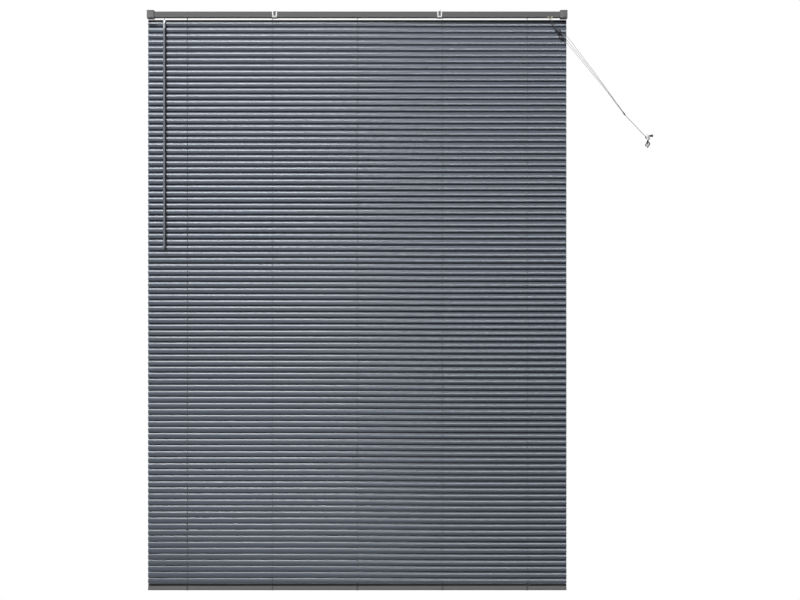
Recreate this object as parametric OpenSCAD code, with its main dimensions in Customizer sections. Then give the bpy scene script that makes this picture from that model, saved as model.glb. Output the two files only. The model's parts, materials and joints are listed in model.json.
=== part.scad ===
// Aluminium venetian blind with a tilting wand, a cord lock and a wall cleat, hung from end brackets.
// Millimetres: +X right, -Y towards the room, +Z up, and the ceiling plane is z = 0.

/* [Overall] */
// Width over the two end brackets
blind_w = 1600; // [1500:10:1700]
// Number of slats
slat_count = 93; // [85:1:95]
// Height from one slat to the next
slat_pitch = 23.1; // [22.8:0.1:23.4]
// Height from the last slat to the bottom rail's front face
rail_drop = 25.3; // [25:0.1:30]
// Room left between the headrail's floor and the first slat's centre
first_drop = 20; // [19.5:0.5:24]

/* [Slats] */
// Length that the slats stop short of the overall width
slat_short = 4; // [2:1:30]
// Width of a slat across its chord
slat_w = 25; // [24.6:0.1:25.4]
// Sheet thickness of a slat
slat_t = 0.22; // [0.18:0.01:0.3]
// Height of a slat's curve
slat_crown = 1.9; // [1.5:0.1:2.2]
// Width of the flat band along a slat's middle
slat_flat = 6.4; // [6.2:0.1:7]
// Tilt of the closed slats
slat_tilt = 72; // [70:0.5:73]
// Depth of the slats' centre line behind the headrail's centre line
slat_y = 3; // [2.8:0.1:3.2]
// Length of the hole for a lift cord along the slat
route_l = 2.6; // [2.2:0.1:6]
// Width of the hole for a lift cord
route_w = 5.8; // [5.5:0.1:6]

/* [Ladders and cords] */
// Distance from the middle ladder to the next ones
ladder_pitch = 324; // [318:1:326]
// Distance of the outermost ladders in from the blind's ends
ladder_in = 152; // [140:1:160]
// Width of a ladder string
string_w = 0.9; // [0.6:0.1:1]
// Gap between a ladder string and the slats' edges
string_gap = 0.05; // [0.02:0.01:0.1]
// Depth to which the slats' front edges sit in the string that carries them
carry_in = 0.3; // [0.2:0.05:0.4]
// Diameter of a lift cord
cord_d = 1.2; // [1:0.1:1.2]
// Diameter of the knotted pull cord
tail_d = 2; // [1.6:0.1:2]

/* [Headrail] */
// Depth of the headrail
head_w = 25; // [24.8:0.1:25.4]
// Height of the headrail
head_h = 21; // [20.8:0.1:21.5]
// Sheet thickness of the headrail
head_t = 0.8; // [0.5:0.05:0.9]
// Width of the lips along the headrail's open top
head_lip = 3; // [2:0.1:3.2]
// Gap from the ceiling down to the headrail
head_drop = 6; // [5.5:0.1:7]
// Thickness of the headrail's end caps
cap_t = 2; // [1.5:0.1:3]
// Length of the end caps' plugs
cap_plug = 5; // [3:0.5:8]
// Gap round a plug in its channel
plug_gap = 0.2; // [0.1:0.05:0.3]

/* [Brackets] */
// Width of an end bracket
bracket_w = 27; // [26:0.5:32]
// Wall of an end bracket
bracket_t = 2; // [1.6:0.1:2.4]
// Floor of an end bracket below the headrail
bracket_floor = 4; // [3:0.5:5]
// Depth of the wall plane behind the headrail's centre line
wall_y = 15.5; // [15:0.1:17]
// Spacing of an end bracket's two ceiling screws
screw_pitch = 12; // [10:0.5:13]
// Radius of a screw hole
screw_r = 2.2; // [1.8:0.1:2.4]
// Radius of a gate's hinge barrel
barrel_r = 1.7; // [1.6:0.05:1.9]
// Radius of a gate's hinge pin
gate_pin_r = 1; // [0.8:0.05:1.1]
// Thickness of a gate
gate_t = 2.2; // [1.8:0.1:2.4]
// Width of a bracket's hinge knuckle
knuckle_w = 5; // [4:0.5:6]
// Corner radius of a gate
gate_round = 3; // [2:0.5:4]

/* [Support clips] */
// Distance from the middle to a support clip
clip_x = 314; // [260:1:318]
// Width of a support clip
clip_w = 18; // [16:0.5:20]
// Width of the slot in a support clip's front
clip_slot = 8.7; // [7:0.1:10]
// Sheet thickness of a support clip
clip_t = 1; // [0.8:0.1:1.4]
// Height of the bar below the slot
clip_bar = 4.5; // [3:0.5:6]
// Depth of a support clip's lips under the headrail
clip_lip = 3; // [2:0.5:4]

/* [Tilt drive] */
// Width of the square tilt rod
rod_w = 5; // [4.6:0.1:5.2]
// Gap round the rod in its square bores
rod_gap = 0.05; // [0.02:0.01:0.1]
// Height of the tilt rod's axis above the headrail's underside
rod_up = 11; // [10.8:0.1:11.2]
// Radius of a drum's barrel
drum_r = 6.5; // [6:0.1:6.6]
// Length of a drum's barrel
drum_l = 12; // [11:0.5:12.5]
// Radius of a drum's flanges
flange_r = 8; // [7.5:0.1:8.1]
// Thickness of a drum's flange
flange_t = 1.5; // [1:0.1:1.6]
// Radius of the journals on drums and gear
journal_r = 4.2; // [4:0.05:4.3]
// Length of a drum's journal
journal_l = 4; // [3:0.5:4.5]
// Running clearance of shafts in their bearings
run_gap = 0.07; // [0.03:0.01:0.1]
// Distance of the tilter and the wand in from the blind's end
wand_x = 66; // [62:1:85]
// Distance of the worm's axis in front of the headrail's centre line
worm_y = 7.8; // [7.7:0.1:7.9]
// Radius of the worm
worm_r = 3.4; // [3.2:0.1:3.5]
// Radius of the worm's stem
stem_r = 2.4; // [2.2:0.1:2.5]
// Radius of the worm's gear
gear_r = 7; // [6.6:0.1:7.1]
// Depth of the gear's teeth
tooth_h = 1.2; // [0.8:0.1:1.4]
// Width of the gear
gear_w = 6; // [5:0.5:8]

/* [Wand] */
// Length of the wand below its hanger
wand_l = 860; // [600:10:1000]
// Width of the six-sided wand over its corners
wand_d = 9.5; // [8:0.1:9.6]
// Height of the hanger's upper pin below the headrail
hang_1 = 9; // [8.6:0.1:10]
// Height of the lower pin below the upper pin
hang_2 = 11.5; // [11.2:0.1:12.5]
// Radius of the hanger's pins
hang_pin_r = 1.2; // [1:0.05:1.3]
// Length of the white ferrule's barrel
ferrule_l = 18; // [14:0.5:24]
// Length of the cap at the wand's lower end
tip_l = 16; // [10:1:24]

/* [Cord lock] */
// Distance of the cord lock in from the blind's end
lock_x = 66; // [64:1:68]
// Width of the cord lock
lock_w = 22; // [21:0.5:23]
// Wall of the cord lock
lock_t = 1.2; // [1:0.1:1.4]
// Radius of the fixed guide roller
guide_r = 2.2; // [2:0.1:2.2]
// Radius of the pinching roller
pinch_r = 2; // [1.8:0.1:2]
// Travel of the pinching roller
pinch_travel = 3; // [2:0.5:4]

/* [Bottom rail] */
// Width of the bottom rail's section
rail_w = 25; // [23:0.5:25]
// Thickness of the bottom rail's section
rail_d = 8; // [7.4:0.1:9]
// Wall of the bottom rail
rail_t = 0.8; // [0.6:0.1:1.2]
// Corner radius of the bottom rail
rail_round = 2.4; // [1.6:0.1:3]
// Thickness of the clips round the bottom rail
band_t = 0.8; // [0.6:0.1:1]
// Gap between the clips and the bottom rail
band_gap = 0.05; // [0.02:0.01:0.1]
// Width of the clips below the lift cords
band_lift = 6.5; // [5:0.5:9]
// Width of the other clips
band_plain = 4.5; // [3:0.5:6]

/* [Cleat] */
// Distance of the cleat beyond the blind's end
cleat_x = 307; // [305:1:309]
// Height of the cleat's middle below the ceiling
cleat_down = 498; // [496:1:500]
// Length over the cleat's two horns
cleat_l = 52; // [48:1:60]
// Width of the cleat's horns
cleat_w = 7; // [6.6:0.1:7]
// Thickness of the cleat's horns
horn_t = 5; // [4.5:0.1:5]
// Gap behind the cleat's horns
horn_gap = 8; // [7.6:0.1:8]
// Thickness of the cleat's foot
foot_t = 3; // [2:0.1:3]
// Spacing of the cleat's two screws
cleat_pitch = 20; // [16:0.5:22]

/* [Hidden] */
$fn = 48;
slat_l = blind_w - slat_short;
head_l = blind_w - 2 * (bracket_t + cap_t);
head_top = -head_drop;
head_bot = head_top - head_h;
floor_z = head_bot + head_t;
inner_y = head_w / 2 - head_t;
slat_z1 = head_bot - first_drop;
slat_zn = slat_z1 - (slat_count - 1) * slat_pitch;
rail_z = slat_zn - rail_drop;
half_w = slat_w / 2;
edge_y = half_w * cos(slat_tilt);
end_x = blind_w / 2;
ladder_xs = [ladder_in - end_x, -ladder_pitch, 0, ladder_pitch, end_x - ladder_in];
lift_xs = [ladder_xs[0], ladder_xs[2], ladder_xs[4]];
slat_r = (half_w * half_w + slat_crown * slat_crown) / (2 * slat_crown);
function rise(s) = sqrt(slat_r * slat_r - s * s) - slat_r + slat_crown;
slat_s = [-half_w, -(half_w + slat_flat / 2) / 2, -slat_flat / 2,
    slat_flat / 2, (half_w + slat_flat / 2) / 2, half_w];
route_rise = rise(slat_flat / 2) - slat_t / 2;
route_y = slat_y - route_rise * sin(slat_tilt);
route_z = route_rise * cos(slat_tilt);
front_y = slat_y - edge_y - string_gap - string_w / 2;
back_y = slat_y + edge_y + slat_t * sin(slat_tilt) + string_gap + string_w / 2;
carrier_y = slat_y - edge_y - string_w / 2 + carry_in;
rod_y = slat_y;
rod_z = head_bot + rod_up;
string_top = rod_z - drum_r - 0.1;
bore_r = journal_r + run_gap;
ear_x = drum_l / 2 + flange_t + 0.7;
ear_t = 2.4;
base_t = 1;
open_x = 6.5;
open_y = [front_y - string_w, back_y + string_w];
collar_t = 0.8;
wand_px = wand_x - end_x;
wand_py = -worm_y;
case_back = inner_y - 0.2;
eye_z = head_bot - hang_1;
pin_z = eye_z - hang_2;
eye_r = hang_pin_r + run_gap;
tongue = 1.6;
leg_x = tongue + 0.3;
leg_t = 1.5;
fork_top = pin_z - 4.5;
rod_top = fork_top - ferrule_l;
bracket_h = head_drop + head_h + bracket_floor;
bracket_x = blind_w / 2 - bracket_w / 2;
side_y = -head_w / 2 - 0.3;
gate_y = side_y - 0.1 - gate_t / 2;
gate_z = -barrel_r - 0.3;
lock_px = end_x - lock_x;
guide_y = -1.2;
guide_z = floor_z + 6.4;
pinch_y = -6.9;
pinch_z = floor_z + 7.7;
axle_r = 1;
mouth_z = head_bot - 2;
lanes = [3, 0, -3];
runs = [0.9, 2.3, 3.7];
run_y = 10.3;
horn_y = wall_y - foot_t - horn_gap;
cleat_z = -cleat_down;
face_y = slat_y + sin(slat_tilt) * rail_d / 2;
face_z = rail_z - cos(slat_tilt) * rail_d / 2;

// The pull cords' route points, as chosen by hand, with x from the blind's end
strand_1 = [[-63, -6.6, -29], [-63, -6.6, -31.5], [-60, -7.6, -39], [-52, -9.4, -54], [-40.2, -10, -69],
    [-27, -10, -81], [0, -8.6, -102], [46, -6, -161], [100, -4, -230.5], [150, -1, -298], [185, 1, -346],
    [215, 2, -386.1]];
strand_2 = [[-66, -6.6, -29], [-66, -6.6, -31.5], [-62.4, -7.6, -40], [-54, -9.4, -55.5], [-41.5, -10, -70],
    [-30.3, -10, -84], [-1, -8.6, -115], [46, -6, -171], [100, -4, -238], [149, -1, -300.5], [184, 1, -347.5],
    [213.8, 2, -387]];
strand_3 = [[-69, -6.6, -29], [-69, -6.6, -31.5], [-64.8, -7.6, -41], [-56, -9.4, -57], [-42.8, -10, -71],
    [-34, -10, -87], [-2, -8.6, -125], [46, -6, -181], [100, -4, -246], [148, -1, -303.5], [183, 1, -349],
    [212.6, 2, -387.9]];
tail_in = [[222.2, 2, -398.2], [225.2, 2, -402.2], [260, 5, -437], [290, 8.5, -468], [298, 10, -475.5],
    [303, 10.9, -479.6]];
tail_out = [[309.5, 6, -477.9], [311.8, 6, -477.2]];
bell_at = [-41.5, -10, -70];
joiner_at = [213.8, 2, -387];
tassel_at = [311.8, 6, -477.2];

function unit(v) = v / norm(v);
function mix(a, b, t) = a + (b - a) * min(1, max(0, t));
// The turns of the pull cord round the cleat, as a standing figure of eight
function turn(t) = let (j = (t - 90) / 180, s = (abs(cos(t)) - 0.5) / 0.4)
    [307 + (6.2 + 0.8 * j) * sin(2 * t), mix(-2 - 2.3 * j, 10.5 - 1.15 * j, s),
    -498 + (17.5 + 0.5 * j) * cos(t)];
tail = concat(tail_in, [for (t = [20:20:700]) turn(t)], [turn(712)], tail_out);

function heading(p, i) = let (n = len(p))
    i == 0 ? unit(p[1] - p[0]) : i == n - 1 ? unit(p[i] - p[i - 1])
    : unit(unit(p[i + 1] - p[i]) + unit(p[i] - p[i - 1]));
function sides(p, u, i = 0) = i == len(p) ? [] :
    let (t = heading(p, i), v = unit(u - (u * t) * t)) concat([v], sides(p, v, i + 1));

function lift_route(k) = let (x = lift_xs[k], z = floor_z + runs[k], a = lock_px + lanes[k]) [
    [x, route_y, rail_z - 0.3],
    [x, route_y, head_bot],
    [x, route_y, floor_z + 0.8],
    [x + 0.8, route_y + 1.2, floor_z + 1.8],
    [x + 3.5, 6.3, floor_z + 2],
    [x + 6, 9.5, floor_z + max(2, runs[k] + 0.2)],
    [x + 9.5, run_y, z],
    [lock_px - 22, run_y, z],
    [lock_px - 14, 8.6, z + 1.2],
    [lock_px - 9.5, 7.9, z + 1.5],
    [a - 3, 5, floor_z + 6.7],
    [a, 1.5, floor_z + 9],
    [a, guide_y, floor_z + 9.5],
    [a, guide_y - 2.4, floor_z + 8.5],
    [a, guide_y - 3.15, floor_z + 6.4],
    [a, guide_y - 3.8, floor_z + 2.7],
    [a, -6.6, floor_z - 0.8],
    [a, -6.6, mouth_z]];

slat_c = "#8d9399";
rail_c = "#8a8a8a";
dark_c = "#4c4e51";
white_c = "#e6e6e2";
steel_c = "#b4b6b8";
cord_c = "#6f7173";
nylon_c = "#d9d4c2";

// A section drawn in depth and height, run along X
module along_x(l) {
    rotate([90, 0, 90]) linear_extrude(l, center = true) children();
}

// A cylinder along X through a point in depth and height
module axle(r, l, y, z) {
    translate([0, y, z]) rotate([0, 90, 0]) cylinder(r = r, h = l, center = true);
}

module rounded(w, h, r) {
    square([w - 2 * r, h], center = true);
    square([w, h - 2 * r], center = true);
    for (x = [-1, 1], y = [-1, 1]) translate([x * (w / 2 - r), y * (h / 2 - r)]) circle(r);
}

module box(x, y, z) {
    translate([x[0], y[0], z[0]]) cube([x[1] - x[0], y[1] - y[0], z[1] - z[0]]);
}

// A round cord along a list of points
module tube(p, d, up) {
    n = 8;
    m = len(p);
    v = sides(p, up);
    points = [for (i = [0:m - 1], k = [0:n - 1]) let (t = heading(p, i), w = cross(t, v[i]), a = 360 * k / n)
        p[i] + d / 2 * (cos(a) * v[i] + sin(a) * w)];
    walls = [for (i = [0:m - 2], k = [0:n - 1]) let (a = i * n + k, b = i * n + (k + 1) % n)
        each [[a, a + n, b], [b, a + n, b + n]]];
    first = [[for (k = [0:n - 1]) k]];
    last = [[for (k = [n - 1:-1:0]) (m - 1) * n + k]];
    polyhedron(points, concat(walls, first, last), convexity = 6);
}

module headrail() {
    color(rail_c) difference() {
        along_x(head_l) difference() {
            translate([-head_w / 2, head_bot]) square([head_w, head_h]);
            translate([-inner_y, floor_z]) square([2 * inner_y, head_h - 2 * head_t]);
            translate([-head_w / 2 + head_lip, floor_z]) square([head_w - 2 * head_lip, head_h]);
        }
        for (x = ladder_xs) translate([x, 0, 0])
            box([-open_x - collar_t - 0.2, open_x + collar_t + 0.2],
                [open_y[0] - collar_t - 0.2, open_y[1] + collar_t + 0.2], [head_bot - 1, floor_z + 1]);
        translate([wand_px, wand_py, head_bot - 1]) cylinder(r = stem_r + 0.8, h = head_t + 2);
        translate([lock_px, 0, 0]) box([-9.3, 9.3], [-head_w / 2 - 1, -2.7], [head_bot - 1, floor_z + 2.7]);
    }
}

module headrail_cap(s) {
    color(dark_c) translate([s * head_l / 2, 0, 0]) {
        translate([s * cap_t / 2, 0, (head_top + head_bot) / 2]) cube([cap_t, head_w, head_h], center = true);
        translate([-s * cap_plug / 2, 0, (head_top + head_bot) / 2])
            cube([cap_plug, 2 * (inner_y - plug_gap), head_h - 2 * (head_t + plug_gap)], center = true);
    }
}

module bracket(s) {
    w = bracket_w / 2;
    hollow = s > 0 ? [-w - 1, w - bracket_t] : [-w + bracket_t, w + 1];
    color(rail_c) translate([s * bracket_x, 0, 0]) difference() {
        union() {
            box([-w, w], [side_y, wall_y], [-bracket_h, 0]);
            for (x = [-w + knuckle_w / 2, w - knuckle_w / 2]) translate([x, 0, 0]) {
                axle(barrel_r, knuckle_w, gate_y, gate_z);
                box([-knuckle_w / 2, knuckle_w / 2], [gate_y, side_y + 1], [gate_z, gate_z + barrel_r]);
            }
        }
        box(hollow, [side_y - 1, head_w / 2], [-bracket_h + bracket_floor, -bracket_t]);
        box([-w + knuckle_w, w - knuckle_w], [side_y - 1, side_y + barrel_r], [-bracket_t - 1, 1]);
        axle(gate_pin_r + 0.03, bracket_w + 2, gate_y, gate_z);
        for (y = [-1, 1]) translate([0, y * screw_pitch / 2, -bracket_t - 1])
            cylinder(r = screw_r, h = bracket_t + 2);
    }
}

module gate(s) {
    w = bracket_w - 2 * knuckle_w - 0.6;
    top = gate_z - barrel_r - 0.3;
    h = bracket_h + top;
    color(rail_c) translate([s * bracket_x, 0, 0]) difference() {
        union() {
            axle(barrel_r, w, gate_y, gate_z);
            box([-w / 2, w / 2], [gate_y - gate_t / 2, gate_y + gate_t / 2], [top - 1, gate_z]);
            translate([0, gate_y + gate_t / 2, top - h / 2]) rotate([90, 0, 0])
                linear_extrude(gate_t) rounded(bracket_w, h, gate_round);
            translate([0, gate_y - gate_t / 2 - 0.4, -bracket_h + 4]) cube([12, 0.8, 2], center = true);
        }
        axle(gate_pin_r + run_gap, bracket_w, gate_y, gate_z);
    }
}

module gate_pin(s) {
    color(steel_c) translate([s * bracket_x, 0, 0]) axle(gate_pin_r, bracket_w - 1, gate_y, gate_z);
}

module support_clip(s) {
    front = -head_w / 2 - clip_t;
    color(white_c) translate([s * clip_x, 0, 0]) difference() {
        union() {
            box([-clip_w / 2, clip_w / 2], [front, wall_y], [-clip_t, 0]);
            box([-clip_w / 2, clip_w / 2], [front, front + clip_t], [head_bot - clip_t, 0]);
            box([-clip_w / 2, clip_w / 2], [front, front + clip_t + clip_lip], [head_bot - clip_t, head_bot]);
            box([-clip_w / 2, clip_w / 2], [wall_y - clip_t, wall_y], [head_bot - clip_t, 0]);
            box([-clip_w / 2, clip_w / 2], [head_w / 2 - clip_lip, wall_y], [head_bot - clip_t, head_bot]);
        }
        box([-clip_slot / 2, clip_slot / 2], [front - 1, front + clip_t + 1], [head_bot + clip_bar, head_top]);
        translate([0, 0, -clip_t - 1]) cylinder(r = screw_r, h = clip_t + 2);
    }
}

module tilt_rod() {
    a = wand_px - 18;
    b = ladder_xs[4] + 16;
    color(steel_c) box([a, b], [rod_y - rod_w / 2, rod_y + rod_w / 2], [rod_z - rod_w / 2, rod_z + rod_w / 2]);
}

module rod_bore(l) {
    translate([0, rod_y, rod_z]) cube([l, rod_w + 2 * rod_gap, rod_w + 2 * rod_gap], center = true);
}

module drum(i) {
    l = drum_l + 2 * flange_t;
    color(white_c) translate([ladder_xs[i], 0, 0]) difference() {
        union() {
            axle(drum_r, drum_l, rod_y, rod_z);
            for (s = [-1, 1]) translate([s * (drum_l + flange_t) / 2, 0, 0])
                axle(flange_r, flange_t, rod_y, rod_z);
            axle(journal_r, l + 2 * journal_l, rod_y, rod_z);
        }
        rod_bore(l + 2 * journal_l + 2);
    }
}

module cradle(i) {
    color(nylon_c) translate([ladder_xs[i], 0, 0]) difference() {
        union() {
            box([-12, 12], [-6.5, open_y[1] + collar_t], [floor_z, floor_z + base_t]);
            box([-open_x - collar_t, open_x + collar_t], [open_y[0] - collar_t, open_y[1] + collar_t],
                [head_bot - 1, floor_z + base_t]);
            for (s = [-1, 1]) translate([s * (ear_x + ear_t / 2), 0, 0])
                box([-ear_t / 2, ear_t / 2], [rod_y - 5.6, rod_y + 5.6], [floor_z, rod_z + 1]);
        }
        box([-open_x, open_x], open_y, [head_bot - 2, floor_z + base_t + 1]);
        axle(bore_r, 40, rod_y, rod_z);
        box([-20, 20], [rod_y - bore_r, rod_y + bore_r], [rod_z, rod_z + 2]);
    }
}

module tilter_case() {
    color(nylon_c) translate([wand_px, 0, 0]) difference() {
        box([-12, 12], [-inner_y + 0.3, case_back], [floor_z, head_top - head_t - 1.5]);
        box([-10.8, 10.8], [-inner_y - 1, case_back - 1.1], [floor_z + base_t, head_top]);
        axle(bore_r, 40, rod_y, rod_z);
        translate([0, wand_py, floor_z - 1]) cylinder(r = stem_r + run_gap, h = 4);
    }
}

module tilter_cover() {
    top = head_top - head_t - 0.2;
    color(nylon_c) difference() {
        translate([wand_px, 0, 0]) box([-12, 12], [-inner_y + 0.3, case_back], [top - 1.3, top]);
        translate([wand_px, wand_py, top - 3]) cylinder(r = 1.5 + run_gap, h = 4);
    }
}

module tilter_worm() {
    color(white_c) translate([wand_px, wand_py, 0]) difference() {
        union() {
            translate([0, 0, floor_z + base_t + 0.3]) cylinder(r = worm_r, h = 15.2);
            translate([0, 0, eye_z + 3]) cylinder(r = stem_r, h = floor_z + base_t + 1 - eye_z);
            translate([0, 0, floor_z + base_t + 12]) cylinder(r = 1.5, h = 6);
            box([-tongue, tongue], [-stem_r, stem_r], [eye_z, eye_z + 3.2]);
            axle(stem_r, 2 * tongue, 0, eye_z);
        }
        axle(eye_r, 10, 0, eye_z);
    }
}

module tilter_gear() {
    teeth = 12;
    step = 360 / teeth;
    ring = [for (i = [0:teeth - 1], e = [[-0.3, -1], [-0.15, 0], [0.15, 0], [0.3, -1]])
        let (a = (i + e[0]) * step, r = gear_r + e[1] * tooth_h) [r * cos(a), r * sin(a)]];
    color(nylon_c) translate([wand_px, 0, 0]) difference() {
        union() {
            translate([0, rod_y, rod_z]) along_x(gear_w) polygon(ring);
            axle(journal_r, 23, rod_y, rod_z);
        }
        rod_bore(30);
    }
}

module wand_hanger() {
    color(steel_c) translate([wand_px, wand_py, 0]) difference() {
        union() {
            for (s = [-1, 1]) translate([s * (leg_x + leg_t / 2), 0, 0]) {
                axle(2.2, leg_t, 0, eye_z);
                box([-leg_t / 2, leg_t / 2], [-2.2, 2.2], [pin_z + 4.5, eye_z]);
            }
            box([-leg_x - leg_t, leg_x + leg_t], [-2.2, 2.2], [pin_z + 4.5, eye_z - 4]);
            box([-2.4, 2.4], [-1.5, 1.5], [pin_z, eye_z - 4]);
            rotate([0, 0, 90]) axle(2.4, 3, 0, pin_z);
        }
        axle(hang_pin_r + 0.03, 20, 0, eye_z);
        rotate([0, 0, 90]) axle(eye_r, 20, 0, pin_z);
    }
}

module wand_hanger_pin() {
    color(steel_c) translate([wand_px, wand_py, 0]) axle(hang_pin_r, 2 * (leg_x + leg_t), 0, eye_z);
}

module wand_ferrule() {
    color(white_c) translate([wand_px, wand_py, 0]) difference() {
        union() {
            translate([0, 0, rod_top]) cylinder(d = wand_d, h = ferrule_l);
            for (s = [-1, 1]) {
                box([-2.4, 2.4], s > 0 ? [1.8, 3.4] : [-3.4, -1.8], [fork_top - 0.5, pin_z]);
                rotate([0, 0, 90]) translate([s * 2.6, 0, 0]) axle(2.4, 1.6, 0, pin_z);
            }
        }
        rotate([0, 0, 90]) axle(hang_pin_r + 0.03, 20, 0, pin_z);
    }
}

module wand_ferrule_pin() {
    color(steel_c) translate([wand_px, wand_py, 0]) rotate([0, 0, 90]) axle(hang_pin_r, 6.8, 0, pin_z);
}

module wand_rod() {
    color(slat_c) translate([wand_px, wand_py, pin_z - wand_l + tip_l])
        cylinder(d = wand_d, h = rod_top - pin_z + wand_l - tip_l, $fn = 6);
}

module wand_tip() {
    color(slat_c) translate([wand_px, wand_py, pin_z - wand_l]) {
        cylinder(d1 = wand_d - 2, d2 = wand_d, h = 3);
        translate([0, 0, 3]) cylinder(d = wand_d, h = tip_l - 3);
    }
}

module cord_lock() {
    w = lock_w / 2;
    top = head_top - 3;
    color(nylon_c) translate([lock_px, 0, 0]) difference() {
        union() {
            difference() {
                box([-w, w], [-inner_y + 0.3, inner_y - 0.3], [floor_z, top]);
                box([-w + lock_t, w - lock_t], [-inner_y + 0.3 + lock_t, inner_y - 0.3 - lock_t],
                    [floor_z + lock_t, top + 1]);
            }
            for (s = [-1, 1]) translate([s * 6.8, 0, 0])
                box([-2.2, 2.2], [-head_w / 2 + 0.2, -3], [head_bot - 3, floor_z + lock_t]);
        }
        box([-w - 1, -w + lock_t + 1], [6.6, 9.9], [floor_z + lock_t, floor_z + 7]);
        box([-4.6, 4.6], [-inner_y + 0.3 + lock_t, -3.2], [floor_z - 1, floor_z + 3]);
        axle(axle_r + run_gap, lock_w + 2, guide_y, guide_z);
        for (z = [0, pinch_travel]) axle(axle_r + run_gap, lock_w + 2, pinch_y, pinch_z + z);
        box([-w - 1, w + 1], [pinch_y - axle_r - run_gap, pinch_y + axle_r + run_gap],
            [pinch_z, pinch_z + pinch_travel]);
    }
}

module lock_roller(r, y, z) {
    color(steel_c) translate([lock_px, 0, 0]) {
        axle(r, lock_w - 2 * lock_t - 0.6, y, z);
        axle(axle_r, lock_w - 0.4, y, z);
    }
}

module slat_section() {
    top = [for (s = slat_s) [s, rise(s)]];
    low = [for (i = [len(slat_s) - 1:-1:0]) [slat_s[i], rise(slat_s[i]) - slat_t]];
    polygon(concat(top, low));
}

module slats() {
    z_top = slat_z1 + half_w * sin(slat_tilt);
    color(slat_c) union() {
        for (i = [0:slat_count - 1]) translate([0, slat_y, slat_z1 - i * slat_pitch]) rotate([slat_tilt, 0, 0])
            difference() {
                along_x(slat_l) slat_section();
                for (x = lift_xs) translate([x, 0, slat_crown]) cube([route_l, route_w, 2], center = true);
            }
        box([-string_w / 2, string_w / 2], [carrier_y - string_w / 2, carrier_y + string_w / 2],
            [rail_z - half_w * sin(slat_tilt) + 3.5, string_top]);
    }
}

module ladder(i) {
    color(cord_c) translate([ladder_xs[i], 0, 0]) {
        if (i != 2) box([-string_w / 2, string_w / 2], [front_y - string_w / 2, front_y + string_w / 2],
            [rail_z - half_w * sin(slat_tilt) + 3.5, string_top]);
        box([-string_w / 2, string_w / 2], [back_y - string_w / 2, back_y + string_w / 2],
            [rail_z + half_w * sin(slat_tilt) + 0.8, string_top]);
    }
}

// Places what follows in the bottom rail's own tilted section
module on_rail() {
    translate([0, face_y, face_z]) rotate([slat_tilt, 0, 0]) children();
}

module bottom_rail() {
    color(rail_c) on_rail() along_x(slat_l - 2 * cap_t) difference() {
        rounded(rail_w, rail_d, rail_round);
        rounded(rail_w - 2 * rail_t, rail_d - 2 * rail_t, rail_round - rail_t);
    }
}

module bottom_rail_cap(s) {
    g = 2 * (rail_t + plug_gap);
    color(dark_c) on_rail() translate([s * (slat_l / 2 - cap_t), 0, 0]) {
        translate([s * cap_t / 2, 0, 0]) along_x(cap_t) rounded(rail_w, rail_d, rail_round);
        translate([-s * cap_plug / 2, 0, 0]) along_x(cap_plug)
            rounded(rail_w - g, rail_d - g, rail_round - rail_t - plug_gap);
    }
}

module rail_clip(i) {
    color(dark_c) on_rail() translate([ladder_xs[i], 0, 0]) along_x(i % 2 == 0 ? band_lift : band_plain)
        difference() {
            rounded(rail_w + 2 * band_t, rail_d + 2 * band_t, rail_round + band_t);
            rounded(rail_w + 2 * band_gap, rail_d + 2 * band_gap, rail_round + band_gap);
        }
}

module lift_cord(k) {
    color(cord_c) tube(lift_route(k), cord_d, [1, 0, 0]);
}

// A revolved piece on the pull cords, its axis along a direction in X and Z
module on_cord(at, dir) {
    translate(at + [end_x, 0, 0]) rotate([0, atan2(dir[0], dir[2]), 0]) rotate_extrude() children();
}

module cord_bell() {
    color(dark_c) on_cord(bell_at, [0.62, 0, -0.785])
        polygon([[2.7, -1], [4.4, -1], [5.4, 2], [8.4, 16], [8.4, 18], [7.2, 18], [4, 3], [2.7, 1.5]]);
}

module cord_joiner() {
    color(dark_c) translate(joiner_at + [end_x, 0, 0]) rotate([0, atan2(0.6, -0.8), 0])
        cylinder(r = 2.6, h = 14);
}

module pull_strand(p) {
    color(cord_c) translate([end_x, 0, 0]) tube(p, cord_d, [0, 1, 0]);
}

module pull_tail() {
    color(cord_c) translate([end_x, 0, 0]) tube(tail, tail_d, [0, 1, 0]);
}

module cord_tassel() {
    color(dark_c) on_cord(tassel_at, [1, 0, 0.06])
        polygon([[0, 0], [1.6, 0], [2.6, 1.5], [3.6, 6], [4.8, 14.5], [4.8, 17], [3.8, 17], [2.8, 10], [0, 9]]);
}

module wall_cleat() {
    color(white_c) translate([end_x + cleat_x, 0, cleat_z]) difference() {
        union() {
            box([-4.5, 4.5], [wall_y - foot_t, wall_y], [-16.5, 16.5]);
            box([-3, 3], [horn_y - 1, wall_y - foot_t + 1], [-14.5, 14.5]);
            translate([0, horn_y, 0]) rotate([90, 0, 0]) linear_extrude(horn_t) rounded(cleat_w, cleat_l, 3);
        }
        for (z = [-1, 1]) translate([0, wall_y + 1, z * cleat_pitch / 2]) rotate([90, 0, 0])
            cylinder(r = 1.8, h = 30);
    }
}

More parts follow.
